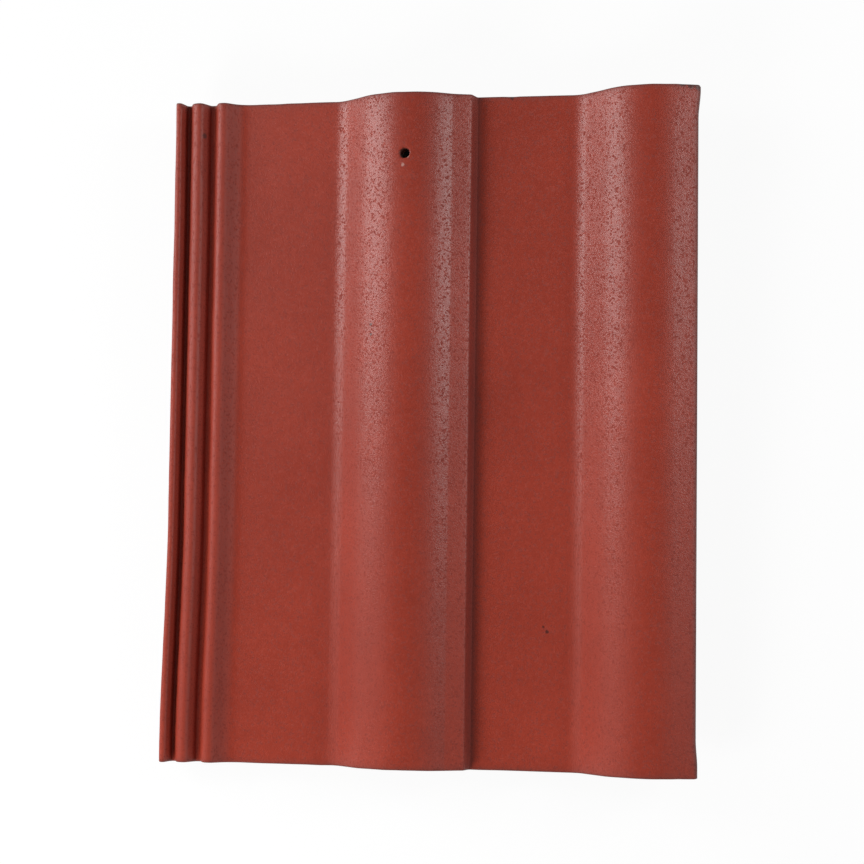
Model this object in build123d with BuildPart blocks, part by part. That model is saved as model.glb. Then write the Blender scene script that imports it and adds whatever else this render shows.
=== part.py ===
from build123d import *
import math
import os

os.makedirs("parts", exist_ok=True)

# Length up the roof slope, width that one tile covers, thickness of the pans
tile_length = 418.0
cover_width = 302.0
body_thickness = 12.5

# Side lock on the left edge, read from the edge inwards: tops, slopes and groove floors
outer_rib_top = 4.2
outer_rib_fall = 1.8
first_groove_floor = 1.9
middle_rib_climb = 2.8
middle_rib_top = 6.4
middle_rib_fall = 4.2
second_groove_floor = 2.4
inner_rib_climb = 3.6
inner_rib_top = 5.0
inner_rib_fall = 8.0

# Heights of the lock above the pan, and its corner radii
outer_rib_rise = 10.0
first_groove_rise = 1.0
middle_rib_rise = 9.5
inner_rib_rise = 8.5
lock_edge_radius = 1.6
outer_rib_radius = 1.4
middle_rib_radius = 2.4
inner_rib_radius = 2.0
inner_rib_blend = 3.0
groove_radius = 0.8
pan_blend = 6.0

# Relief under the side lock
lock_relief_rise = 4.0
lock_relief_width = 34.0
lock_relief_fall = 10.0

# First roll: two flanks, a round crest, then a gentler ledge and a steep step on the right
roll_foot_radius = 16.0
flank_angle = 40.0
shoulder_angle = 33.0
roll_width = 72.0
crest_share = 0.65
ledge_rise = 13.0
ledge_width = 11.5
ledge_root_radius = 8.0
step_rise = 8.2
step_run = 2.4
step_arris_radius = 1.4
step_root_radius = 1.0

# Second roll: the same left flank, then a flatter shoulder out to the lapping edge
lap_roll_width = 73.0
lap_crest_share = 0.62
lap_shoulder_angle = 20.0
lap_edge_rise = 16.5
lap_edge_radius = 2.5

# Hollows under the rolls
roll_wall = 12.5
hollow_inset = 9.0
hollow_edge_radius = 3.0

# Lapping ribs under the right edge, and their play in the lock of the next tile
lap_flat = 5.0
lap_lip = 2.9
lap_gap = 1.2
lap_side_gap = 0.7
rib_tip_gap = 1.8
lap_root_radius = 1.5
lap_tip_radius = 0.5

# Arrises of the two cut ends
tail_arris = 1.2
head_arris = 0.8

# Nail hole in the crest of the first roll
nail_hole_diameter = 6.6
nail_hole_from_head = 38.5

# Hanging nibs near the head
nib_width = 38.0
nib_length = 17.0
nib_depth = 15.0
nib_from_head = 7.0
nib_draft = 6.0
nib_corner_radius = 5.0
nib_tip_radius = 1.8

# Weather bars under the pans near the tail
bar_width = 9.0
bar_depth = 4.0
bar_draft = 22.0
bar_from_tail = 11.0
bar_spacing = 19.0
bar_end_gap = 6.0

# Levels measured up from the underside of the pans
pan_top = body_thickness
outer_rib_level = pan_top + outer_rib_rise
first_groove_level = pan_top + first_groove_rise
middle_rib_level = pan_top + middle_rib_rise
inner_rib_level = pan_top + inner_rib_rise
ledge_level = pan_top + ledge_rise
step_level = pan_top + step_rise
lap_edge_level = pan_top + lap_edge_rise

# Stations across the side lock, measured from the left edge
first_groove_start = outer_rib_top + outer_rib_fall
first_groove_end = first_groove_start + first_groove_floor
middle_rib_start = first_groove_end + middle_rib_climb
middle_rib_end = middle_rib_start + middle_rib_top
second_groove_start = middle_rib_end + middle_rib_fall
second_groove_end = second_groove_start + second_groove_floor
inner_rib_start = second_groove_end + inner_rib_climb
inner_rib_end = inner_rib_start + inner_rib_top
pan_start = inner_rib_end + inner_rib_fall
relief_foot = lock_relief_width + lock_relief_fall

# Walls of the two grooves as pairs of foot and crest
first_left = ((first_groove_start, first_groove_level), (outer_rib_top, outer_rib_level))
first_right = ((first_groove_end, first_groove_level), (middle_rib_start, middle_rib_level))
second_left = ((second_groove_start, pan_top), (middle_rib_end, middle_rib_level))
second_right = ((second_groove_end, pan_top), (inner_rib_start, inner_rib_level))


def on_wall(foot, crest, level):
    """Station where the straight wall from foot to crest, run on if need be, meets a level."""
    share = (level - foot[1]) / (crest[1] - foot[1])
    return foot[0] + share * (crest[0] - foot[0])


# Levels of the lapping edge: between its ribs, at its lip and at the tips of its ribs
lap_level = outer_rib_level + lap_gap
lip_level = inner_rib_level + lap_gap
first_tip_level = first_groove_level + rib_tip_gap
second_tip_level = pan_top + rib_tip_gap

# Ribs under the lapping edge: the groove walls, moved over by the cover and in by the play
over_right = cover_width + lap_side_gap
over_left = cover_width - lap_side_gap
lap_corners = [
    (on_wall(*first_left, lap_level) + over_right, lap_level, lap_root_radius),
    (on_wall(*first_left, first_tip_level) + over_right, first_tip_level, lap_tip_radius),
    (on_wall(*first_right, first_tip_level) + over_left, first_tip_level, lap_tip_radius),
    (on_wall(*first_right, lap_level) + over_left, lap_level, lap_root_radius),
    (on_wall(*second_left, lap_level) + over_right, lap_level, lap_root_radius),
    (on_wall(*second_left, second_tip_level) + over_right, second_tip_level, lap_tip_radius),
    (on_wall(*second_right, second_tip_level) + over_left, second_tip_level, lap_tip_radius),
    (on_wall(*second_right, lip_level) + over_left, lip_level, lap_root_radius),
]
lap_hollow_crest = lap_corners[0][0] - lap_flat
tile_width = lap_corners[-1][0] + lap_lip

# Stations of the rolls, placed from the lapping edge; a roll comes every half cover width
roll_pitch = cover_width / 2
second_roll_start = tile_width - lap_roll_width
roll_start = second_roll_start - roll_pitch
ledge_root = roll_start + roll_width
step_arris = ledge_root + ledge_width
step_foot = step_arris + step_run
hollow_start = roll_start + hollow_inset
hollow_end = step_foot - hollow_inset
hollow_middle = (hollow_start + hollow_end) / 2
second_hollow_start = second_roll_start + hollow_inset

# Slopes of the rolls as tangents
flank_slope = math.tan(math.radians(flank_angle))
shoulder_slope = math.tan(math.radians(shoulder_angle))
lap_slope = math.tan(math.radians(lap_shoulder_angle))


def ridge(foot, end, end_level, slope):
    """Corner where the left flank from a foot meets a right flank that falls to an end point."""
    run = (end_level - pan_top + slope * (end - foot)) / (flank_slope + slope)
    return foot + run, pan_top + flank_slope * run


# Corners that the two crests are rounded from, and the top of the first crest
first_ridge = ridge(roll_start, ledge_root, ledge_level, shoulder_slope)
second_ridge = ridge(second_roll_start, tile_width, lap_edge_level, lap_slope)
crest_radius = crest_share * roll_width
lap_crest_radius = lap_crest_share * lap_roll_width
half_turn = math.radians(flank_angle + shoulder_angle) / 2
half_skew = math.radians(flank_angle - shoulder_angle) / 2
crest_station = first_ridge[0] + crest_radius * math.sin(half_skew) / math.cos(half_turn)
crest_level = first_ridge[1] - crest_radius * (math.cos(half_skew) / math.cos(half_turn) - 1)
hollow_level = crest_level - roll_wall

# Weather face from the left edge to the right, each corner with the radius that rounds it
weather_corners = [
    (0, outer_rib_level, lock_edge_radius),
    (outer_rib_top, outer_rib_level, outer_rib_radius),
    (first_groove_start, first_groove_level, groove_radius),
    (first_groove_end, first_groove_level, groove_radius),
    (middle_rib_start, middle_rib_level, middle_rib_radius),
    (middle_rib_end, middle_rib_level, middle_rib_radius),
    (second_groove_start, pan_top, groove_radius),
    (second_groove_end, pan_top, groove_radius),
    (inner_rib_start, inner_rib_level, inner_rib_radius),
    (inner_rib_end, inner_rib_level, inner_rib_blend),
    (pan_start, pan_top, pan_blend),
    (roll_start, pan_top, roll_foot_radius),
    (*first_ridge, crest_radius),
    (ledge_root, ledge_level, ledge_root_radius),
    (step_arris, step_level, step_arris_radius),
    (step_foot, pan_top, step_root_radius),
    (second_roll_start, pan_top, roll_foot_radius),
    (*second_ridge, lap_crest_radius),
    (tile_width, lap_edge_level, lap_edge_radius),
]

# Section plane at the tail: stations run to the right from the left edge, heights run up
section_plane = Plane((-tile_width / 2, -tile_length / 2, 0), x_dir=(1, 0, 0), z_dir=(0, -1, 0))

# The tile in its own plane: weather face up, head towards +Y, underside of the pans at zero
with BuildPart() as moulded_tile:

    # Block under the weather face
    with BuildSketch(section_plane):
        with BuildLine():
            FilletPolyline(
                (0, 0),
                *[(station, level) for station, level, radius in weather_corners],
                (tile_width, 0),
                radius=[radius for station, level, radius in weather_corners],
            )
            Line((tile_width, 0), (0, 0))
        make_face()
    extrude(amount=-tile_length)

    # Arrises of the weather face at both cut ends
    for end, arris in ((0, tail_arris), (-1, head_arris)):
        end_face = moulded_tile.faces().filter_by(Axis.Y).sort_by(Axis.Y)[end]
        rim = end_face.edges() - end_face.edges().filter_by(Axis.Z)
        fillet(rim.sort_by(Axis.Z)[1:], arris)

    # Underside: relief of the lock, hollow of the first roll, hollow and ribs of the lapping edge
    with BuildSketch(section_plane):
        with BuildLine():
            Polyline(
                (0, 0),
                (0, lock_relief_rise),
                (lock_relief_width, lock_relief_rise),
                (relief_foot, 0),
                close=True,
            )
        make_face()
        with BuildLine():
            ThreePointArc((hollow_start, 0), (hollow_middle, hollow_level), (hollow_end, 0))
            Line((hollow_end, 0), (hollow_start, 0))
        make_face()
        with BuildLine():
            TangentArc((lap_hollow_crest, hollow_level), (second_hollow_start, 0), tangent=(-1, 0))
            FilletPolyline(
                (lap_hollow_crest, hollow_level),
                *[(station, level) for station, level, radius in lap_corners],
                (tile_width, lip_level),
                radius=[radius for station, level, radius in lap_corners],
            )
            Polyline((tile_width, lip_level), (tile_width, 0), (second_hollow_start, 0))
        make_face()
    extrude(amount=-tile_length, mode=Mode.SUBTRACT)

    # Rounded edges where the hollows meet the underside of the pans
    underside_edges = moulded_tile.edges().filter_by(Axis.Y).group_by(Axis.Z)[0]
    fillet(underside_edges, hollow_edge_radius)

    # Hanging nibs under the middle of each pan
    first_pan_middle = (relief_foot + hollow_start - tile_width) / 2
    second_pan_middle = (hollow_end + second_hollow_start - tile_width) / 2
    nib_middle = tile_length / 2 - nib_from_head - nib_length / 2
    with BuildSketch(Plane.XY):
        with Locations((first_pan_middle, nib_middle), (second_pan_middle, nib_middle)):
            RectangleRounded(nib_width, nib_length, nib_corner_radius)
    extrude(amount=-nib_depth, taper=nib_draft)
    nib_tips = moulded_tile.faces().filter_by(Axis.Z).group_by(Axis.Z)[0]
    fillet(nib_tips.edges(), nib_tip_radius)

    # Weather bars under both pans
    first_bar_length = hollow_start - relief_foot - 2 * bar_end_gap
    second_bar_length = second_hollow_start - hollow_end - 2 * bar_end_gap
    bar_rows = [bar_from_tail - tile_length / 2, bar_from_tail + bar_spacing - tile_length / 2]
    with BuildSketch(Plane.XY):
        with Locations(*[(first_pan_middle, row) for row in bar_rows]):
            Rectangle(first_bar_length, bar_width)
        with Locations(*[(second_pan_middle, row) for row in bar_rows]):
            Rectangle(second_bar_length, bar_width)
    extrude(amount=-bar_depth, taper=bar_draft)

    # Nail hole through the crest of the first roll
    with BuildSketch(Plane.XY):
        with Locations((crest_station - tile_width / 2, tile_length / 2 - nail_hole_from_head)):
            Circle(nail_hole_diameter / 2)
    extrude(amount=crest_level + roll_wall, mode=Mode.SUBTRACT)

# On a level floor the tile leans on its nibs and on the weather bar nearest the tail
nib_rest = tile_length / 2 - nib_from_head - nib_length
bar_rest = bar_from_tail - bar_width / 2 - tile_length / 2
lean = math.degrees(math.atan2(nib_depth - bar_depth, nib_rest - bar_rest))
leaning_tile = moulded_tile.part.rotate(Axis.X, lean)
rest_box = leaning_tile.bounding_box()

# The tile as it lies, centred over the origin with its lowest points on the floor
with BuildPart() as roof_tile:
    with Locations((-rest_box.center().X, -rest_box.center().Y, -rest_box.min.Z)):
        add(leaning_tile)

roof_tile.part.label = "roof_tile"
export_step(roof_tile.part, "parts/roof_tile.step")
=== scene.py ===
# %% [markdown]
# # A double roll roof tile
#
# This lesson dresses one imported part: an interlocking roof tile of concrete, made in one piece,
# with a red coating on its weather face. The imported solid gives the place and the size. Here the
# same section gets the small faults of a pressed tile, the rounded cut ends, the sandy coating
# and the bare concrete underneath.

import bmesh
import bpy
import numpy as np
from mathutils import Euler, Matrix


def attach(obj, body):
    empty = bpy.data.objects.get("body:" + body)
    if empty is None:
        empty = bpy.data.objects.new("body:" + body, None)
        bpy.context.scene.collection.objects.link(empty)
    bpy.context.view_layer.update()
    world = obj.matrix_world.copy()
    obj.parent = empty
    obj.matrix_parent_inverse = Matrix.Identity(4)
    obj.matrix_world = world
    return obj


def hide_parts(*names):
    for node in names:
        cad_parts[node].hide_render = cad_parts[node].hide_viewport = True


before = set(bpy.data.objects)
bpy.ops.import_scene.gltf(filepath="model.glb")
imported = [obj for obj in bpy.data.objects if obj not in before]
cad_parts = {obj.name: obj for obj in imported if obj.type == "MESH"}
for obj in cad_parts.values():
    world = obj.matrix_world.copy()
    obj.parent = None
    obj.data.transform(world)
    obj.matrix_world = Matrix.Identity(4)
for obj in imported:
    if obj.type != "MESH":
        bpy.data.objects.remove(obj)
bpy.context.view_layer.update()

# %% [markdown]
# ## The section
#
# Every tile of this kind is pushed through the same mould, so one outline across the roof tells
# nearly the whole shape: three ribs and two grooves of the side lock, a pan, a roll with a ledge
# and a step at its foot, a second pan and a second roll that laps over the next tile. A curve
# object with a bevel could carry that outline along, but a plain function of the distance across
# gives a surface that can be bent, worn and cut later. The corners are given as points and radii,
# and one helper rounds all of them at once. On a used mould the crowns of the two inner ribs sag
# to the left and every rib is a little rounder than drawn, so the lock is worn before it is used.

# %% Corners of the weather face
MM = 0.001
tile_length = 418 * MM
cover_width = 302 * MM
pan_top = 12.5 * MM
lock_widths = np.array([4.2, 1.8, 1.9, 2.8, 6.4, 4.2, 2.4, 3.6, 5.0, 8.0]) * MM
lock_rises = np.array([10, 10, 1, 1, 9.5, 9.5, 0, 0, 8.5, 8.5, 0]) * MM
lock_radii = np.array([2.0, 2.2, 0.8, 0.9, 5.0, 4.0, 1.0, 1.0, 4.0, 5.0, 12.0]) * MM
lock = np.stack([np.append(0, np.cumsum(lock_widths)), pan_top + lock_rises], 1)
worn_lock = lock.copy()
worn_lock[[4, 8], 1] -= np.array([1.6, 0.9]) * MM
lap_gap, lap_side_gap, tip_gap, lap_lip = 1.2 * MM, 0.7 * MM, 1.8 * MM, 2.9 * MM


def on_wall(foot, crest, level):
    """Station where the straight wall from foot to crest meets a level, run on if need be."""
    share = (level - foot[1]) / (crest[1] - foot[1])
    return foot[0] + share * (crest[0] - foot[0])


lap_level, lip_level = lock[0, 1] + lap_gap, lock[8, 1] + lap_gap
outer_tip, inner_tip = lock[2, 1] + tip_gap, pan_top + tip_gap
lap_walls = [(2, 1, lap_level, 1), (2, 1, outer_tip, 1), (3, 4, outer_tip, -1),
             (3, 4, lap_level, -1), (6, 5, lap_level, 1), (6, 5, inner_tip, 1),
             (7, 8, inner_tip, -1), (7, 8, lip_level, -1)]
lap = np.array([
    (on_wall(lock[foot], lock[crest], level) + cover_width + side * lap_side_gap, level)
    for foot, crest, level, side in lap_walls])
lap_radii = np.array([1.5, 0.5, 0.5, 1.5, 1.5, 0.5, 0.5, 1.5]) * MM
tile_width = lap[-1, 0] + lap_lip
print("tile width", round(tile_width / MM, 3), "mm")

# %% Corners of the rolls
lap_roll_width, roll_width, ledge_width, step_width = np.array([73, 72, 11.5, 2.4]) * MM
root_rise, arris_rise, lap_rise = np.array([13, 8.2, 16.5]) * MM
second_foot = tile_width - lap_roll_width
first_foot = second_foot - cover_width / 2
ledge_root = first_foot + roll_width
step_arris = ledge_root + ledge_width
step_foot = step_arris + step_width
flank, shoulder, lap_shoulder = np.tan(np.radians([40, 33, 20]))


def ridge(foot, end, end_rise, slope):
    """Corner where the left flank from a foot meets a right flank that falls to an end point."""
    run = (end_rise + slope * (end - foot)) / (flank + slope)
    return foot + run, pan_top + flank * run


rolls = np.array([
    (first_foot, pan_top), ridge(first_foot, ledge_root, root_rise, shoulder),
    (ledge_root, pan_top + root_rise), (step_arris, pan_top + arris_rise), (step_foot, pan_top),
    (second_foot, pan_top), ridge(second_foot, tile_width, lap_rise, lap_shoulder),
    (tile_width, pan_top + lap_rise),
])
roll_radii = np.array([16, 46.8, 8, 2.2, 0.4, 16, 45.26, 2.5]) * MM
crest_radius = roll_radii[1]
print("rolls start at", np.round([first_foot / MM, second_foot / MM], 2), "mm")

# %% Round the corners of an outline


def rounded_line(points, radii, steps):
    """Arcs that round the inner corners of a line, one row of stations and levels after another.
    At each corner the circle of the given radius touches both legs: its centre lies on the line
    that halves the corner, and the arc turns from one touching point to the other."""
    back = points[:-2] - points[1:-1]
    ahead = points[2:] - points[1:-1]
    back = back / np.linalg.norm(back, axis=1, keepdims=True)
    ahead = ahead / np.linalg.norm(ahead, axis=1, keepdims=True)
    half = np.arccos(np.clip(np.sum(back * ahead, axis=1), -1, 1)) / 2
    middle = (back + ahead) / np.linalg.norm(back + ahead, axis=1, keepdims=True)
    centre = points[1:-1] + middle * (radii / np.sin(half))[:, None]
    reach = (radii / np.tan(half))[:, None]
    first = points[1:-1] + back * reach - centre
    last = points[1:-1] + ahead * reach - centre
    start = np.arctan2(first[:, 1], first[:, 0])
    turn = (np.arctan2(last[:, 1], last[:, 0]) - start + np.pi) % (2 * np.pi) - np.pi
    angle = start[:, None] + turn[:, None] * np.linspace(0, 1, steps)
    arc = np.stack([np.cos(angle), np.sin(angle)], -1) * radii[:, None, None]
    return (centre[:, None] + arc).reshape(-1, 2)


weather_line = np.vstack([(0, 0), worn_lock, rolls, (tile_width, 0)])
weather_radii = np.concatenate([lock_radii, roll_radii])
weather = rounded_line(weather_line, weather_radii, 48)
along = np.gradient(weather, axis=0)
weather_normal = np.stack([-along[:, 1], along[:, 0]], 1)
weather_normal /= np.linalg.norm(weather_normal, axis=1, keepdims=True)
print("weather face", len(weather), "points, highest", round(weather[:, 1].max() / MM, 2), "mm")

# %% [markdown]
# ## The underside
#
# The underside is hidden in most views, yet it is what holds the tile on the roof: hollows under
# the rolls, two ribs under the right edge that drop into the grooves of the next tile, two nibs
# that hang on the batten and low bars that keep wind driven rain out. The hollows are arcs of
# circles, so they are written as heights above the underside of the pans, and a smooth maximum
# rounds the edges where they meet the flat.

# %% Height of the underside
roll_wall, hollow_inset, relief_end, relief_depth = np.array([12.5, 9, 44, 4]) * MM
relief_slope, soft_edge = 0.4, 0.7 * MM
over_roll = (weather[:, 0] > first_foot) & (weather[:, 0] < step_foot)
hollow_level = weather[over_roll, 1].max() - roll_wall
hollow_start, hollow_end = first_foot + hollow_inset, step_foot - hollow_inset
lap_hollow_start, lap_hollow_crest = second_foot + hollow_inset, lap[0, 0] - 5 * MM
lap_line = np.vstack([(lap_hollow_crest, hollow_level), lap, (tile_width, lip_level)])
lapping = np.vstack([lap_line[:1], rounded_line(lap_line, lap_radii, 24), lap_line[-1:]])


def hollow(station, crest, half_span):
    """Circle through the top of a hollow and its two feet, as a height at each station."""
    radius = (half_span ** 2 + hollow_level ** 2) / (2 * hollow_level)
    return np.sqrt(np.maximum(radius ** 2 - (station - crest) ** 2, 0)) + hollow_level - radius


def underside_level(station):
    """Largest of zero, the relief of the lock and the hollows, with the meeting edges rounded
    as half the sum of a height and the root of its square plus a small square."""
    relief = np.minimum(relief_slope * (relief_end - station), relief_depth)
    roll = hollow(station, (hollow_start + hollow_end) / 2, (hollow_end - hollow_start) / 2)
    second = hollow(np.minimum(station, lap_hollow_crest), lap_hollow_crest,
                    lap_hollow_crest - lap_hollow_start)
    height = np.maximum(np.maximum(relief, roll), second)
    soft = (height + np.sqrt(height ** 2 + soft_edge ** 2)) / 2
    return np.where(station > lap_hollow_crest, np.interp(station, *lapping.T), soft)


print("hollow rises to", round(hollow_level / MM, 2), "mm")

# %% [markdown]
# ## Where the grid runs
#
# A grid of quads carries both faces, with the same lines across and along. Lines sit close where
# the outline turns, at the arrises of the cut ends, at the bars and around the nail hole and the
# nibs, and far apart on the pans. Blocks of cells are left out where the hole and the nibs go, so
# that rings can fill them and the mesh stays one closed skin.

# %% Places of the hole, the nibs and the bars
nail_station = rolls[1, 0] + crest_radius * np.sin(np.radians(3.5)) / np.cos(np.radians(36.5))
half_length = tile_length / 2
nail_along = half_length - 38.5 * MM
nib_half = np.array([19.0, 8.5]) * MM
nib_stations = np.array([(relief_end + hollow_start) / 2, (hollow_end + lap_hollow_start) / 2])
nib_along = half_length - 7 * MM - nib_half[1]
bar_depth, bar_half = 4 * MM, 4.5 * MM
bar_reach = np.array([hollow_start - relief_end, lap_hollow_start - hollow_end]) / 2 - 6 * MM
bar_along = np.array([11, 30]) * MM - half_length
bar_tip = bar_depth * np.tan(np.radians(22))
print("nail hole at", np.round([nail_station / MM, nail_along / MM], 1), "mm")

# %% Lines of the grid


def block(middle, half, cells):
    """Evenly spaced lines across a block of the given half size."""
    return middle + np.linspace(-half, half, cells + 1)


def fill(marks, gap, closest, blocks):
    """Lines at the marks, without those that crowd each other or fall inside a block, and with
    evenly spaced lines in every gap that is wider than the given one."""
    marks = np.unique(np.round(marks, 7))
    for lines in blocks:
        marks = marks[(marks < lines[0] - closest) | (marks > lines[-1] + closest)]
    marks = marks[np.append(True, np.diff(marks) > closest)]
    marks = np.sort(np.concatenate([marks, *blocks]))
    counts = np.ceil(np.diff(marks) / gap - 1e-6).astype(int)
    return np.append(np.concatenate([np.linspace(a, b, n, endpoint=False)
                                     for a, b, n in zip(marks[:-1], marks[1:], counts)]), marks[-1])


hole_half, nib_half_across, nib_half_along = 7.2 * MM, 22.5 * MM, 12 * MM
hole_across, hole_down = block(nail_station, hole_half, 8), block(nail_along, hole_half, 8)
nib_across = [block(station, nib_half_across, 14) for station in nib_stations]
nib_down = block(nib_along, nib_half_along, 8)
corner_marks = np.concatenate([rounded_line(weather_line, weather_radii, 6)[:, 0],
                               rounded_line(lap_line, lap_radii, 5)[:, 0]])
bar_sides = (nib_stations[:, None] + np.array([[-1, 1]]) * bar_reach[:, None]).ravel()
bar_marks = np.concatenate([bar_sides, bar_sides + bar_tip * np.array([1, -1, 1, -1])])
across = fill(np.concatenate([[0, tile_width], corner_marks, bar_marks]), 3.4 * MM, 0.09 * MM,
              [nib_across[0], hole_across, nib_across[1]])
arris_steps = np.array([0, 0.1, 0.3, 0.6, 1.0, 1.5, 2.1]) * MM
bar_profile = np.array([-bar_half, -bar_half + bar_tip, bar_half - bar_tip, bar_half])
bar_edges = (bar_along[:, None] + bar_profile).ravel()
down = fill(np.concatenate([arris_steps - half_length, bar_edges, half_length - arris_steps]),
            3.6 * MM, 0.05 * MM, [hole_down, nib_down])
print("grid", len(across), "by", len(down))

# %% [markdown]
# ## The faults of a pressed tile
#
# A real tile isn't as true as its drawing. The side lock flares out towards the tail, the corners
# on the right spread a little, the cut ends wander, the arrises are rubbed and chipped, and the
# faces swell by a few tenths of a millimetre. These faults are smooth random fields: a hash gives
# every point of a lattice a value, and a smooth step blends between the lattice points. A noise
# texture on a displace modifier could do the same, but a formula gives the same tile every time
# and lets every face that shares an edge move together.

# %% Smooth random fields


def lattice(column, row, seed):
    """Value from -1 to 1 for each lattice point, from the broken part of a large sine."""
    wave = np.sin(column * 127.1 + row * 311.7 + seed * 74.7) * 43758.5453
    return 2 * (wave - np.floor(wave)) - 1


def wander(x, y, size, seed):
    """Value noise: the four lattice values round a point, blended with a smooth step each way."""
    p, q = np.asarray(x) / size, np.asarray(y) / size
    i, j = np.floor(p), np.floor(q)
    s, t = p - i, q - j
    s, t = s * s * (3 - 2 * s), t * t * (3 - 2 * t)
    low = lattice(i, j, seed) * (1 - s) + lattice(i + 1, j, seed) * s
    high = lattice(i, j + 1, seed) * (1 - s) + lattice(i + 1, j + 1, seed) * s
    return low * (1 - t) + high * t


def smooth(value, start, end):
    """Smooth step from 0 at start to 1 at end."""
    share = np.clip((value - start) / (end - start), 0, 1)
    return share * share * (3 - 2 * share)


field = wander(*np.meshgrid(across, down), 31 * MM, 22)
print("a field runs from", round(field.min(), 2), "to", round(field.max(), 2))

# %% Arrises, swell and bending


def arris_drop(station, y):
    """How far a point near a cut end is rubbed back: the radius less the height of a quarter
    circle at its distance from the end. The radius wanders, and some places are chipped."""
    tail = y < 0
    away = half_length - np.abs(y)
    seed = np.where(tail, 3, 4)
    chip = np.maximum(wander(station, seed * MM, 7 * MM, 11) - 0.45, 0) * 1.5
    chip = chip + np.where(tail, 0, 1.6) * np.exp(-((station - 215.4 * MM) / (1.8 * MM)) ** 2)
    uneven = 1 + 0.25 * wander(station, seed * MM, 16 * MM, 12) + chip
    radius = np.where(tail, 1.2, 0.9) * MM * uneven
    inside = np.clip(away, 0, radius)
    return radius - np.sqrt(inside * (2 * radius - inside))


def swell(station, y):
    """Sum of three smooth random fields: long waves, hand sized lumps and small ripples."""
    return (0.28 * wander(station, y, 95 * MM, 21) + 0.14 * wander(station, y, 31 * MM, 22)
            + 0.05 * wander(station, y, 9 * MM, 23)) * MM


def bend(x, y):
    """How the whole tile is bent in plan: the lock flares out at the tail, the right edge spreads
    at both corners, and each cut end wanders along the tile."""
    station = x + tile_width / 2
    lock_side = 1 - smooth(station, 12 * MM, 70 * MM)
    right_side = smooth(station, tile_width - 22 * MM, tile_width)
    flare = -2.3 * smooth(-y, 60 * MM, 200 * MM) - 0.5 * smooth(y, 120 * MM, 209 * MM)
    spread = 1.3 * smooth(y, 190 * MM, 207 * MM) + 1.0 * smooth(-y, 186 * MM, 203 * MM)
    tail_cut = smooth(-y, 150 * MM, 209 * MM) * (0.35 * wander(station, 0, 48 * MM, 31)
                                                + 0.12 * wander(station, 0, 9 * MM, 32))
    head_cut = smooth(y, 150 * MM, 209 * MM) * (0.3 * wander(station, 0, 52 * MM, 33)
                                               + 0.12 * wander(station, 0, 8 * MM, 34))
    return MM * (flare * lock_side + spread * right_side), MM * (tail_cut + head_cut)


print("swell reaches", round(np.abs(swell(*np.meshgrid(across, down))).max() / MM, 2), "mm")

# %% [markdown]
# ## Points of the skin
#
# Two functions answer the same question for the two faces: where is the point at this station
# across and this distance along? On the weather face the swell and the rubbed arris move it along
# the normal of the section. Below, the bars add their height. A last function bends the tile in
# plan, leans it on its nibs as it lies on the floor and moves it over the origin, so every patch
# that shares an edge still shares it.

# %% Points of both faces


def weather_point(station, y):
    """Point of the weather face: the section carried along, moved along its normal."""
    level, right, up = (np.interp(station, weather[:, 0], values)
                        for values in (weather[:, 1], weather_normal[:, 0], weather_normal[:, 1]))
    move = swell(station, y) - arris_drop(station, y)
    return np.stack([station - tile_width / 2 + right * move, y, level + up * move], -1)


def bar_height(station, y):
    """Bars as the least of four ramps, one from each side, cut off at their depth."""
    tall = np.zeros(np.broadcast(station, y).shape)
    for middle, reach in zip(nib_stations, bar_reach):
        for row in bar_along:
            inside = np.minimum(reach - np.abs(station - middle), bar_half - np.abs(y - row))
            tall = np.maximum(tall, bar_depth * np.clip(inside / bar_tip, 0, 1))
    return tall


def underside_point(station, y):
    """Point of the underside: its level less the bars, with a small arris at both ends."""
    away = np.clip(half_length - np.abs(y), 0, 0.6 * MM)
    arris = 0.6 * MM - np.sqrt(away * (1.2 * MM - away))
    ripple = 0.1 * MM * wander(station, y, 22 * MM, 41)
    level = underside_level(station) - bar_height(station, y) + arris + ripple
    return np.stack([station - tile_width / 2, y, level], -1)


lean = np.radians(1.6260242)
rest_shift = np.array([0.0, 0.49869, 9.6986]) * MM


def settle(points):
    """Bend the points in plan, lean them about the X axis and move the tile over the origin."""
    aside, forth = bend(points[..., 0], points[..., 1])
    x, y, z = points[..., 0] + aside, points[..., 1] + forth, points[..., 2]
    leaned = [x, y * np.cos(lean) - z * np.sin(lean), y * np.sin(lean) + z * np.cos(lean)]
    return np.stack(leaned, -1) + rest_shift


station_grid, along_grid = np.meshgrid(across, down)
top_points = weather_point(station_grid, along_grid)
low_points = underside_point(station_grid, along_grid)
print("highest point", round(settle(top_points)[..., 2].max() / MM, 2), "mm above the floor")


# %% Collect patches of quads
patches = {"points": [], "quads": [], "coat": [], "rub_and_shade": [], "count": 0}
# Edge values fade over this distance: they paint shade along the cut ends and the right edge and
# dull the coat there.
rub_and_shade_fade = 1.2 * MM


def add_patch(points, coat, closed=False, leave_out=None):
    """Quads between neighbouring rows and columns of a grid of points. A closed patch joins its
    last column to its first. Cells of the mask are left out. The edge value of a point, which
    paints shade on the edges and dulls their coat, fades with its distance from the cut ends and
    the right edge."""
    rows, columns = points.shape[:2]
    index = np.arange(rows * columns).reshape(rows, columns) + patches["count"]
    if closed:
        index = np.hstack([index, index[:, :1]])
    quads = np.stack([index[:-1, :-1], index[:-1, 1:], index[1:, 1:], index[1:, :-1]], -1)
    quads = quads.reshape(-1, 4) if leave_out is None else quads[~leave_out]
    patches["points"].append(settle(points).reshape(-1, 3))
    patches["quads"].append(quads)
    patches["coat"].append(np.broadcast_to(coat, (rows, columns)).ravel())
    from_ends = np.abs(points[..., 1]) - half_length
    from_right = points[..., 0] - tile_width / 2
    patches["rub_and_shade"].append(np.exp(np.maximum(from_ends, from_right) / rub_and_shade_fade).ravel())
    patches["count"] += rows * columns


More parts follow.
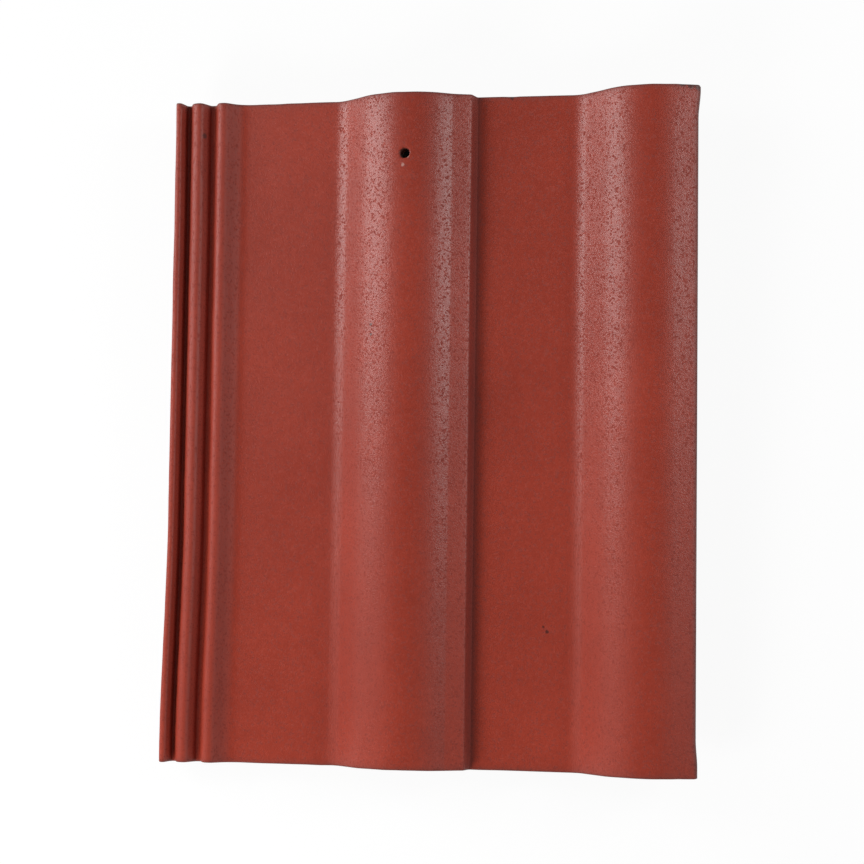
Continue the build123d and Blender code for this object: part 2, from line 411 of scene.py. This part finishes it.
def cells_inside(across_lines, down_lines):
    """Mask of the grid's cells that lie inside a block."""
    mid_across, mid_down = (across[1:] + across[:-1]) / 2, (down[1:] + down[:-1]) / 2
    inside_across = (mid_across > across_lines[0]) & (mid_across < across_lines[-1])
    inside_down = (mid_down > down_lines[0]) & (mid_down < down_lines[-1])
    return inside_down[:, None] & inside_across[None, :]


hole_cells = cells_inside(hole_across, hole_down)
nib_cells = cells_inside(nib_across[0], nib_down) | cells_inside(nib_across[1], nib_down)
add_patch(top_points, 1.0, leave_out=hole_cells)
add_patch(low_points[:, ::-1], 0.0, leave_out=(hole_cells | nib_cells)[:, ::-1])
print("faces hold", patches["count"], "points")

# %% [markdown]
# ## Sides and cut ends
#
# The two faces are joined by four walls. Each wall is a grid of straight lines from an edge of the
# underside to the same edge of the weather face. The cut ends show torn aggregate, so their middle
# rows are pushed in and out. The coating runs over the top of each wall and stops, as sprayed
# paint does.

# %% Walls
rise = np.linspace(0, 1, 7)[:, None, None]
spray = np.linspace(0.15, 1, 7)[:, None]
tear = 0.35 * MM * smooth(np.minimum(across, tile_width - across), 0, 3 * MM)


def wall(low_edge, top_edge, roughness):
    """Straight lines from one edge to the other, with the inner rows pushed along the tile by a
    smooth random field that fades out at both edges."""
    points = low_edge * (1 - rise) + top_edge * rise
    torn = wander(points[..., 0] + points[..., 1], points[..., 2], 4 * MM, 51)
    points[..., 1] += roughness * torn * 4 * rise[..., 0] * (1 - rise[..., 0])
    return points


add_patch(wall(low_points[0], top_points[0], tear), spray)
add_patch(wall(low_points[-1], top_points[-1], tear)[:, ::-1], spray)
add_patch(wall(low_points[:, 0], top_points[:, 0], 0)[:, ::-1], spray)
add_patch(wall(low_points[:, -1], top_points[:, -1], 0), spray)
print("with walls", patches["count"], "points")

# %% [markdown]
# ## The nail hole
#
# The hole is punched through the crest of the first roll before the concrete sets, so its rim is
# soft and slightly torn. Cutting a cylinder out with a boolean would leave a sharp rim and long
# thin triangles. Instead, rings run from the square that was left out of the grid to a circle,
# down the bore, and out to the same square on the underside.

# %% Rings round the nail hole


def block_loop(across_lines, down_lines):
    """Stations and distances along the border of a block, once round, counter-clockwise."""
    right, up = across_lines[:-1], down_lines[:-1]
    stations = np.concatenate([right, np.full(len(up), across_lines[-1]),
                               across_lines[:0:-1], np.full(len(up), across_lines[0])])
    alongs = np.concatenate([np.full(len(right), down_lines[0]), up,
                             np.full(len(right), down_lines[-1]), down_lines[:0:-1]])
    return stations, alongs


hole_u, hole_y = block_loop(hole_across, hole_down)
turn = np.arctan2(hole_y - nail_along, hole_u - nail_station)


def hole_ring(radius):
    """Circle about the hole's middle, one point for each point of the block's border."""
    ragged = radius * (1 + 0.03 * wander(3 * np.cos(turn), 3 * np.sin(turn), 1, 61))
    return nail_station + ragged * np.cos(turn), nail_along + ragged * np.sin(turn)


def ring_from_block(share, radius, surface):
    """Ring that is a share of the way from the block's border to the circle, on a face."""
    circle_u, circle_y = hole_ring(radius)
    return surface(hole_u * (1 - share) + circle_u * share, hole_y * (1 - share) + circle_y * share)


bore, rim = 3.3 * MM, 0.7 * MM
rows = [ring_from_block(share, bore + rim, weather_point) for share in (0, 0.3, 0.6, 0.85, 1)]
rim_turns = np.radians([30, 60, 90])
for angle in rim_turns:
    ring = ring_from_block(1, bore + rim * (1 - np.sin(angle)), weather_point)
    rows.append(ring - np.array([0, 0, rim * (1 - np.cos(angle))]))
last_top, first_low = rows[-1], ring_from_block(1, bore, underside_point)
rows += [last_top * (1 - share) + first_low * share for share in (0.25, 0.5, 0.75)]
rows += [ring_from_block(share, bore, underside_point) for share in (1, 0.7, 0.35, 0)]
hole_coat = np.array([1, 1, 1, 1, 1, 0.9, 0.8, 0.6, 0.4, 0.2, 0, 0, 0, 0, 0])[:, None]
add_patch(np.array(rows), hole_coat, closed=True)
print("nail hole rings", len(rows), "of", len(turn), "points")

# %% [markdown]
# ## The hanging nibs
#
# The nibs hook over the batten. Each is a low block with rounded corners and a slight draft, so
# it leaves the mould. A rounded rectangle is carried down a short profile of insets and depths,
# from the border of its block on the underside to a line along the middle of its tip.

# %% Rings of the nibs
nib_corner = 5 * MM
nib_profile = np.array([(-0.9, 0.0), (-0.2, 0.3), (0.05, 1.0), (0.55, 6), (1.3, 12.6), (1.6, 13.9),
                        (2.2, 14.7), (3.2, 15.0), (6.0, 15.0), (8.5, 15.0)]) * MM


def nib_ring(block_u, block_y, middle, inset, drop):
    """Block border squeezed to a rectangle that is set in, with its corners rounded: a point is
    moved to the corner radius from the nearest point of the inner rectangle."""
    spread = np.stack([(block_u - middle) / nib_half_across,
                       (block_y - nib_along) / nib_half_along], -1)
    size = np.maximum(nib_half - inset, 0)
    radius = np.clip(nib_corner - inset, 0, size.min())
    flat = spread * size
    core = np.clip(flat, radius - size, size - radius)
    out = flat - core
    far = np.maximum(np.linalg.norm(out, axis=-1, keepdims=True), 1e-9)
    place = core + out / far * np.minimum(radius, far * 1e6)
    base = underside_point(middle + place[:, 0], nib_along + place[:, 1])
    return base - np.array([0, 0, drop])


for middle, lines in zip(nib_stations, nib_across):
    loop_u, loop_y = block_loop(lines, nib_down)
    border = underside_point(loop_u, loop_y)
    rings = [nib_ring(loop_u, loop_y, middle, inset, drop) for inset, drop in nib_profile]
    add_patch(np.array([border] + rings)[:, ::-1], 0.0, closed=True)
print("nibs drop to", round(min(points[:, 2].min() for points in patches["points"]) / MM, 3), "mm")

# %% [markdown]
# ## One closed skin
#
# The patches share their border points, so far as separate copies. Merging them makes one skin,
# as the tile is one casting, and the count of open edges shows whether a seam was missed. A remesh
# modifier could close it too, but would lose the lines that were laid along every corner. Corners
# sharper than a set angle stay crisp, and all others are shaded smooth.

# %% Weld the patches into one skin
weld_gap, crisp_angle = 0.004 * MM, np.radians(48)


def weld(name):
    """One mesh from all patches, with the shared edges merged and the faces turned outwards."""
    points, quads = np.concatenate(patches["points"]), np.concatenate(patches["quads"])
    mesh = bpy.data.meshes.new(name)
    mesh.vertices.add(len(points))
    mesh.vertices.foreach_set("co", points.astype(np.float32).ravel())
    mesh.loops.add(quads.size)
    mesh.loops.foreach_set("vertex_index", quads.astype(np.int32).ravel())
    mesh.polygons.add(len(quads))
    mesh.polygons.foreach_set("loop_start", np.arange(0, quads.size, 4, dtype=np.int32))
    mesh.update(calc_edges=True)
    for layer in ("coat", "rub_and_shade"):
        values = mesh.attributes.new(layer, "FLOAT", "POINT")
        values.data.foreach_set("value", np.concatenate(patches[layer]).astype(np.float32))
    work = bmesh.new()
    work.from_mesh(mesh)
    bmesh.ops.remove_doubles(work, verts=work.verts, dist=weld_gap)
    bmesh.ops.recalc_face_normals(work, faces=work.faces)
    open_edges = sum(not edge.is_manifold for edge in work.edges)
    work.to_mesh(mesh)
    work.free()
    mesh.polygons.foreach_set("use_smooth", np.ones(len(mesh.polygons), bool))
    mesh.set_sharp_from_angle(angle=crisp_angle)
    return mesh, open_edges


tile_mesh, open_edges = weld("dressed_tile")
tile = bpy.data.objects.new("dressed_tile", tile_mesh)
bpy.context.scene.collection.objects.link(tile)
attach(tile, "root")
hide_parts("roof_tile")
triangles = sum(len(face.vertices) - 2 for face in tile_mesh.polygons)
print("tile has", triangles, "triangles and", open_edges, "open edges")

# %% [markdown]
# ## Coated concrete
#
# The weather face is sprayed with a thin red coating that carries fine sand. It has a low sheen, so
# light from the side draws grey, speckled bands along the rolls. The sand is far too fine for the
# mesh, so it is a bump: cells of about a millimetre with a finer noise on top, and single grains
# that are dull. Three shader node groups hold the shared effects: the sand grain, the slow change
# of tone and the single mark. An image texture could hold them as well, but it would blur up close
# and need a picture on disk.

# %% Helpers for shader nodes


def link(tree, source, target):
    """Join one socket to another."""
    tree.links.new(source, target)


def node(tree, kind, **settings):
    """Add a node, then set its properties and the default values of its named inputs."""
    made = tree.nodes.new(kind)
    for key, value in settings.items():
        if hasattr(made, key):
            setattr(made, key, value)
        else:
            made.inputs[key.replace("_", " ")].default_value = value
    return made


def ramp(tree, source, stops):
    """Colour ramp with the given stops of place and grey value."""
    made = tree.nodes.new("ShaderNodeValToRGB")
    elements = made.color_ramp.elements
    while len(elements) < len(stops):
        elements.new(0.5)
    for element, (place, grey) in zip(elements, stops):
        element.position = place
        element.color = (grey, grey, grey, 1)
    link(tree, source, made.inputs["Fac"])
    return made.outputs["Color"]


def combine(tree, operation, first, second):
    """Math node on two sockets or numbers."""
    made = tree.nodes.new("ShaderNodeMath")
    made.operation = operation
    for slot, value in enumerate((first, second)):
        if hasattr(value, "is_linked"):
            link(tree, value, made.inputs[slot])
        else:
            made.inputs[slot].default_value = value
    return made.outputs[0]


def mix_colours(tree, share, first, second, blend="MIX"):
    """Mix of two colours, each a socket or four numbers."""
    made = tree.nodes.new("ShaderNodeMix")
    made.data_type = "RGBA"
    made.blend_type = blend
    for slot, value in zip((0, 6, 7), (share, first, second)):
        if hasattr(value, "is_linked"):
            link(tree, value, made.inputs[slot])
        else:
            made.inputs[slot].default_value = value
    return made.outputs[2]


def new_group(name, inputs, outputs):
    """Empty shader node group with the named sockets, and its inlet and outlet."""
    tree = bpy.data.node_groups.new(name, "ShaderNodeTree")
    for side, sockets in (("INPUT", inputs), ("OUTPUT", outputs)):
        for label, kind in sockets.items():
            tree.interface.new_socket(label, in_out=side, socket_type="NodeSocket" + kind)
    return tree, tree.nodes.new("NodeGroupInput"), tree.nodes.new("NodeGroupOutput")


def use_group(tree, group, place, **values):
    """Place a node group on the given coordinates and set its other inputs."""
    made = tree.nodes.new("ShaderNodeGroup")
    made.node_tree = group
    link(tree, place, made.inputs["Vector"])
    for label, value in values.items():
        made.inputs[label].default_value = value
    return made


# %% Group for the sand grain


def sand_grain_group():
    """Height from rounded cells the size of a sand grain with finer noise on them, and a speck
    mask that picks out single grains."""
    tree, inlet, outlet = new_group("sand_grain", {"Vector": "Vector", "Scale": "Float"},
                                    {"Height": "Float", "Speck": "Float"})
    cells = node(tree, "ShaderNodeTexVoronoi", feature="SMOOTH_F1", Smoothness=0.4)
    fine = node(tree, "ShaderNodeTexNoise", Detail=3.0, Roughness=0.6)
    grains = node(tree, "ShaderNodeTexVoronoi", feature="F1")
    for texture, factor in ((cells, 1.5), (fine, 2.2), (grains, 1.2)):
        link(tree, inlet.outputs["Vector"], texture.inputs["Vector"])
        scale = combine(tree, "MULTIPLY", inlet.outputs["Scale"], factor)
        link(tree, scale, texture.inputs["Scale"])
    rounded_cells = combine(tree, "SUBTRACT", 1.0, cells.outputs["Distance"])
    height = combine(tree, "ADD", combine(tree, "MULTIPLY", rounded_cells, 0.6),
                     combine(tree, "MULTIPLY", fine.outputs["Fac"], 0.5))
    link(tree, height, outlet.inputs["Height"])
    apart = tree.nodes.new("ShaderNodeSeparateColor")
    link(tree, grains.outputs["Color"], apart.inputs["Color"])
    link(tree, apart.outputs["Red"], outlet.inputs["Speck"])
    return tree


sand_grain = sand_grain_group()
print("group", sand_grain.name, "has", len(sand_grain.nodes), "nodes")

# %% Group for the slow change of tone


def tone_group():
    """Two noises of different size, added, as a value round one half."""
    tree, inlet, outlet = new_group(
        "slow_tone", {"Vector": "Vector", "Broad": "Float", "Close": "Float"}, {"Tone": "Float"})
    broad = node(tree, "ShaderNodeTexNoise", Detail=2.0)
    close = node(tree, "ShaderNodeTexNoise", Detail=4.0, Roughness=0.65)
    for texture, size in ((broad, "Broad"), (close, "Close")):
        link(tree, inlet.outputs["Vector"], texture.inputs["Vector"])
        link(tree, inlet.outputs[size], texture.inputs["Scale"])
    tone = combine(tree, "ADD", combine(tree, "MULTIPLY", broad.outputs["Fac"], 0.6),
                   combine(tree, "MULTIPLY", close.outputs["Fac"], 0.4))
    link(tree, tone, outlet.inputs["Tone"])
    return tree


slow_tone = tone_group()
print("group", slow_tone.name, "has", len(slow_tone.nodes), "nodes")

# %% Group for single marks


def mark_group():
    """Spot with a ragged edge: one at its place, falling smoothly to nothing at its radius."""
    inputs = {"Vector": "Vector", "Place": "Vector", "Radius": "Float"}
    tree, inlet, outlet = new_group("single_mark", inputs, {"Mask": "Float"})
    apart = node(tree, "ShaderNodeVectorMath", operation="DISTANCE")
    link(tree, inlet.outputs["Vector"], apart.inputs[0])
    link(tree, inlet.outputs["Place"], apart.inputs[1])
    ragged = node(tree, "ShaderNodeTexNoise", Scale=900.0, Detail=2.0)
    link(tree, inlet.outputs["Vector"], ragged.inputs["Vector"])
    share = combine(tree, "DIVIDE", apart.outputs["Value"], inlet.outputs["Radius"])
    share = combine(tree, "ADD", share, combine(tree, "SUBTRACT", ragged.outputs["Fac"], 0.5))
    fade = node(tree, "ShaderNodeMapRange", interpolation_type="SMOOTHSTEP",
                From_Min=0.5, From_Max=1.0, To_Min=1.0, To_Max=0.0)
    link(tree, share, fade.inputs["Value"])
    link(tree, fade.outputs[0], outlet.inputs["Mask"])
    return tree


single_mark = mark_group()
dark_marks = [(18.7, 188.1, 2.4), (131.2, 64.3, 1.3), (131.4, 58.0, 1.2), (240.7, -124.1, 1.4),
              (238.4, -121.0, 1.0), (215.4, 208.0, 1.7), (331.5, 208.5, 4.2),
              (327.0, 208.6, 3.0), (322.0, 208.8, 2.4)]
pale_marks = [(150.9, 163.0, 1.3), (153.6, 168.2, 1.4)]


def marks(tree, place, spots):
    """Largest of the spots at the given stations and distances along, in millimetres."""
    found = 0.0
    for station, y, radius in spots:
        middle = settle(weather_point(np.array(station * MM), np.array(y * MM)))
        spot = use_group(tree, single_mark, place, Place=middle, Radius=radius * MM)
        found = combine(tree, "MAXIMUM", spot.outputs["Mask"], found)
    return found


print(len(dark_marks), "dark marks and", len(pale_marks), "pale ones")

# %% [markdown]
# ## Colour and gloss of the coating
#
# The coating isn't one flat red. Its tone drifts, some grains are darker and duller, and a few
# marks stick to it. The root of the step is painted darker as shade, and the edges are painted
# dark brown as shade along the cut ends and the right edge. The lock, the slope beside it, the root
# of the step and the rubbed edges have lost their gloss. One picture painted by hand could hold all
# this, but masks worked out from the place on the tile stay sharp from any distance. One function
# gives the colour, one gives the roughness, and the material joins them.

# %% Colour of the coating


def coating_colour(tree, place, shade, speck, corner):
    """Two reds mixed by the slow tone, then mixed with grains, marks and painted shade at the step
    root.
    """
    red = mix_colours(tree, shade, (0.26, 0.0275, 0.0125, 1), (0.335, 0.0385, 0.0185, 1))
    grains = ramp(tree, speck, [(0.0, 0.5), (0.1, 0.38), (0.2, 0.0), (1.0, 0.2)])
    red = mix_colours(tree, grains, red, (0.16, 0.024, 0.018, 1))
    red = mix_colours(tree, marks(tree, place, pale_marks), red, (0.42, 0.20, 0.17, 1))
    dark = combine(tree, "MULTIPLY", marks(tree, place, dark_marks), 0.8)
    red = mix_colours(tree, dark, red, (0.045, 0.012, 0.01, 1))
    # Painted shade: the wall and root of the step are darkened towards a near black red.
    root = combine(tree, "MULTIPLY", corner, 0.45)
    return mix_colours(tree, root, red, (0.085, 0.009, 0.006, 1))


# %% Roughness of the coating
dull_grey = (0.85, 0.85, 0.85, 1)


def coating_roughness(tree, share_across, speck, corner, rub_and_shade):
    """Rough grains in a smoother coat, mixed with plain dullness at the lock, the slope beside
    it, the step root and the rubbed edges."""
    rough = ramp(tree, speck, [(0.0, 0.78), (0.18, 0.62), (0.28, 0.41), (1.0, 0.36)])
    beside_lock = [(0.09, 0.3), (0.103, 0.55), (0.116, 0.55), (0.127, 0)]
    worn = combine(tree, "MULTIPLY", combine(tree, "MAXIMUM", rub_and_shade, corner), 0.85)
    dull = combine(tree, "MAXIMUM", ramp(tree, share_across, beside_lock), worn)
    return mix_colours(tree, dull, rough, dull_grey)


# %% Material of the tile


def coated_concrete():
    """Red sanded coating over concrete: the coat attribute blends from bare concrete to the
    coating, an edge attribute paints shade in dark brown along the edges and dulls them, and the
    sand grain is a bump."""
    material = bpy.data.materials.new("coated_concrete")
    material.use_nodes = True
    tree = material.node_tree
    shader = tree.nodes["Principled BSDF"]
    place = tree.nodes.new("ShaderNodeTexCoord").outputs["Object"]
    coat = node(tree, "ShaderNodeAttribute", attribute_name="coat").outputs["Fac"]
    rub_and_shade = node(tree, "ShaderNodeAttribute", attribute_name="rub_and_shade").outputs["Fac"]
    sand = use_group(tree, sand_grain, place, Scale=800)
    tone = use_group(tree, slow_tone, place, Broad=14, Close=160)
    speck = sand.outputs["Speck"]
    shade = ramp(tree, tone.outputs["Tone"], [(0.32, 0), (0.68, 1)])
    sides = tree.nodes.new("ShaderNodeSeparateXYZ")
    link(tree, place, sides.inputs[0])
    share_across = combine(tree, "DIVIDE", sides.outputs["X"], tile_width)
    share_across = combine(tree, "ADD", share_across, 0.5)
    # Mask of the step's wall and root: painted shade in the colour, and less gloss in the
    # roughness.
    corner = ramp(tree, share_across, [(0.5745, 0), (0.58, 1), (0.5855, 1), (0.592, 0)])

    red = coating_colour(tree, place, shade, speck, corner)
    bare = mix_colours(tree, shade, (0.16, 0.066, 0.05, 1), (0.24, 0.10, 0.078, 1))
    share = ramp(tree, coat, [(0.35, 0), (0.7, 1)])
    colour = mix_colours(tree, share, bare, red)
    # Painted shade: the cut ends and the right edge are darkened to dark brown.
    painted_edge_shade = combine(tree, "MULTIPLY", rub_and_shade, 0.8)
    colour = mix_colours(tree, painted_edge_shade, colour, (0.055, 0.02, 0.016, 1))
    link(tree, colour, shader.inputs["Base Color"])
    rough = coating_roughness(tree, share_across, speck, corner, rub_and_shade)
    link(tree, mix_colours(tree, share, dull_grey, rough), shader.inputs["Roughness"])
    bump = node(tree, "ShaderNodeBump", Strength=0.4, Distance=0.0003)
    link(tree, sand.outputs["Height"], bump.inputs["Height"])
    link(tree, bump.outputs["Normal"], shader.inputs["Normal"])
    shader.inputs["IOR"].default_value = 1.55
    return material


tile_mesh.materials.clear()
tile_mesh.materials.append(coated_concrete())
print("material", tile_mesh.materials[0].name)

# %% [markdown]
# ## The floor
#
# The tile lies on a pale floor that shows white to the camera and keeps a faint shadow. More light
# on a white floor would do that too, but it would also change the tile. So a large share of plain
# white is added for the camera alone, outside the tile's own footprint. A dark spot is painted on
# the floor under the nail hole as shade, so the hole shows black, and from below the floor can't be
# seen, so the underside can be looked at.

# %% Material of the floor
hole_shade_reach = 50 * MM


def seen_rays(tree):
    """One for rays that show the background: from the camera, by gloss or through glass."""
    path = tree.nodes.new("ShaderNodeLightPath")
    mirrored = combine(tree, "MAXIMUM", path.outputs["Is Glossy Ray"],
                       path.outputs["Is Transmission Ray"])
    return combine(tree, "MAXIMUM", path.outputs["Is Camera Ray"], mirrored)


def pale_floor():
    """White floor: a share of plain white for the camera, and a diffuse rest for the shadow. A spot
    under the nail hole is painted dark as shade, and the back is see-through."""
    material = bpy.data.materials.new("pale_floor")
    material.use_nodes = True
    tree = material.node_tree
    tree.nodes.clear()
    place = tree.nodes.new("ShaderNodeTexCoord").outputs["Object"]
    apart = tree.nodes.new("ShaderNodeSeparateXYZ")
    link(tree, place, apart.inputs[0])
    shares = [combine(tree, "DIVIDE", combine(tree, "ABSOLUTE", apart.outputs[side], 0), half)
              for side, half in (("X", tile_width / 2), ("Y", half_length))]
    open_floor = ramp(tree, combine(tree, "MAXIMUM", *shares), [(0.88, 0), (0.97, 0.92)])
    from_hole = node(tree, "ShaderNodeVectorMath", operation="DISTANCE")
    link(tree, place, from_hole.inputs[0])
    from_hole.inputs[1].default_value = (nail_station - tile_width / 2, nail_along, 0)
    share = combine(tree, "DIVIDE", from_hole.outputs["Value"], hole_shade_reach)
    diffuse = tree.nodes.new("ShaderNodeBsdfDiffuse")
    # Painted shade: the floor is dark in a spot round the point under the nail hole.
    link(tree, ramp(tree, share, [(0.5, 0.03), (0.8, 0.9)]), diffuse.inputs["Color"])
    white = node(tree, "ShaderNodeEmission", Color=(1, 1, 1, 1), Strength=1.0)
    mix, one_sided = (tree.nodes.new("ShaderNodeMixShader") for _ in range(2))
    link(tree, combine(tree, "MULTIPLY", seen_rays(tree), open_floor), mix.inputs["Fac"])
    link(tree, diffuse.outputs[0], mix.inputs[1])
    link(tree, white.outputs[0], mix.inputs[2])
    back = tree.nodes.new("ShaderNodeNewGeometry").outputs["Backfacing"]
    link(tree, back, one_sided.inputs["Fac"])
    link(tree, mix.outputs[0], one_sided.inputs[1])
    link(tree, tree.nodes.new("ShaderNodeBsdfTransparent").outputs[0], one_sided.inputs[2])
    outlet = tree.nodes.new("ShaderNodeOutputMaterial")
    link(tree, one_sided.outputs[0], outlet.inputs["Surface"])
    return material


# %% Floor
floor_mesh = bpy.data.meshes.new("floor")
floor_mesh.from_pydata([(-6, -6, 0), (6, -6, 0), (6, 6, 0), (-6, 6, 0)], [], [(0, 1, 2, 3)])
floor_mesh.materials.append(pale_floor())
floor = bpy.data.objects.new("floor", floor_mesh)
bpy.context.scene.collection.objects.link(floor)
print("floor", tuple(round(side) for side in floor.dimensions[:2]), "metres")

# %% [markdown]
# ## Light
#
# Two soft lamps stand towards the head, one low on the left and one on the right, so the sheen
# runs along the rolls and fades towards the tail. A third one fills in from the left of the tail.
# It is kept out of reflections, because its own sheen would make the pans pale. A sky that is
# darker overhead adds the rest, and near the horizon it is white to the camera and in reflections.
# A picture of a studio could light the tile too, but three lamps are easier to move and to read.

# %% Lamps
tile_middle = (0, 0, 0.03)


def soft_lamp(name, place, size, power):
    """Rectangular area lamp at a place, turned so that it faces the middle of the tile."""
    lamp = bpy.data.lights.new(name, "AREA")
    lamp.shape = "RECTANGLE"
    lamp.size, lamp.size_y = size
    lamp.energy = power
    holder = bpy.data.objects.new(name, lamp)
    bpy.context.scene.collection.objects.link(holder)
    direction = np.array(tile_middle) - np.array(place)
    holder.location = place
    holder.visible_camera = False
    flat = np.hypot(direction[0], direction[1])
    tilt, heading = np.arctan2(flat, -direction[2]), np.arctan2(-direction[0], direction[1])
    holder.rotation_euler = Euler((tilt, 0, heading))
    return holder


soft_lamp("left_lamp", (-0.982, 0.397, 0.593), (0.5, 0.8), 8.4)
soft_lamp("right_lamp", (0.972, 0.316, 0.666), (0.4, 0.4), 5.0)
fill_lamp = soft_lamp("fill_lamp", (-0.627, -0.802, 0.666), (0.5, 0.5), 10.0)
fill_lamp.visible_glossy = False

# %% Surroundings
world = bpy.context.scene.world or bpy.data.worlds.new("surroundings")
bpy.context.scene.world = world
world.use_nodes = True
surroundings = world.node_tree
surroundings.nodes.clear()
sky = node(surroundings, "ShaderNodeBackground", Color=(1, 1, 1, 1))
bright = node(surroundings, "ShaderNodeBackground", Color=(1, 1, 1, 1), Strength=1.0)
upward = surroundings.nodes.new("ShaderNodeSeparateXYZ")
direction = surroundings.nodes.new("ShaderNodeTexCoord").outputs["Generated"]
link(surroundings, direction, upward.inputs[0])
horizon = ramp(surroundings, upward.outputs["Z"], [(0.1, 1), (0.3, 0)])
overhead = ramp(surroundings, upward.outputs["Z"], [(0.7, 0.29), (0.97, 0.08)])
link(surroundings, overhead, sky.inputs["Strength"])
white_share = combine(surroundings, "MULTIPLY", seen_rays(surroundings), horizon)
choice = surroundings.nodes.new("ShaderNodeMixShader")
world_out = surroundings.nodes.new("ShaderNodeOutputWorld")
link(surroundings, white_share, choice.inputs["Fac"])
link(surroundings, sky.outputs[0], choice.inputs[1])
link(surroundings, bright.outputs[0], choice.inputs[2])
link(surroundings, choice.outputs[0], world_out.inputs["Surface"])
print("world", world.name, "has", len(surroundings.nodes), "nodes")

# %% [markdown]
# ## Camera
#
# The camera looks down on the tile from above its right side, a little towards the tail, so the
# height of the rolls shows as a wave along both cut ends. Its place, turn and lens were fitted to
# the outline and to the lines of the rolls. An orthographic camera would be simpler, but it would
# lose the slight narrowing towards the head.

# %% Camera
lens = bpy.data.cameras.new("camera")
lens.lens = 85.478
lens.sensor_width = 36
lens.clip_end = 50
camera = bpy.data.objects.new("camera", lens)
bpy.context.scene.collection.objects.link(camera)
camera.location = (0.23318, -0.12499, 1.27246)
camera.rotation_euler = Euler(np.radians((5.75495, 10.39658, 1.08285)))
bpy.context.scene.camera = camera
bpy.context.scene.view_settings.view_transform = "Standard"
print("camera", round(camera.location.z, 2), "metres above the floor")
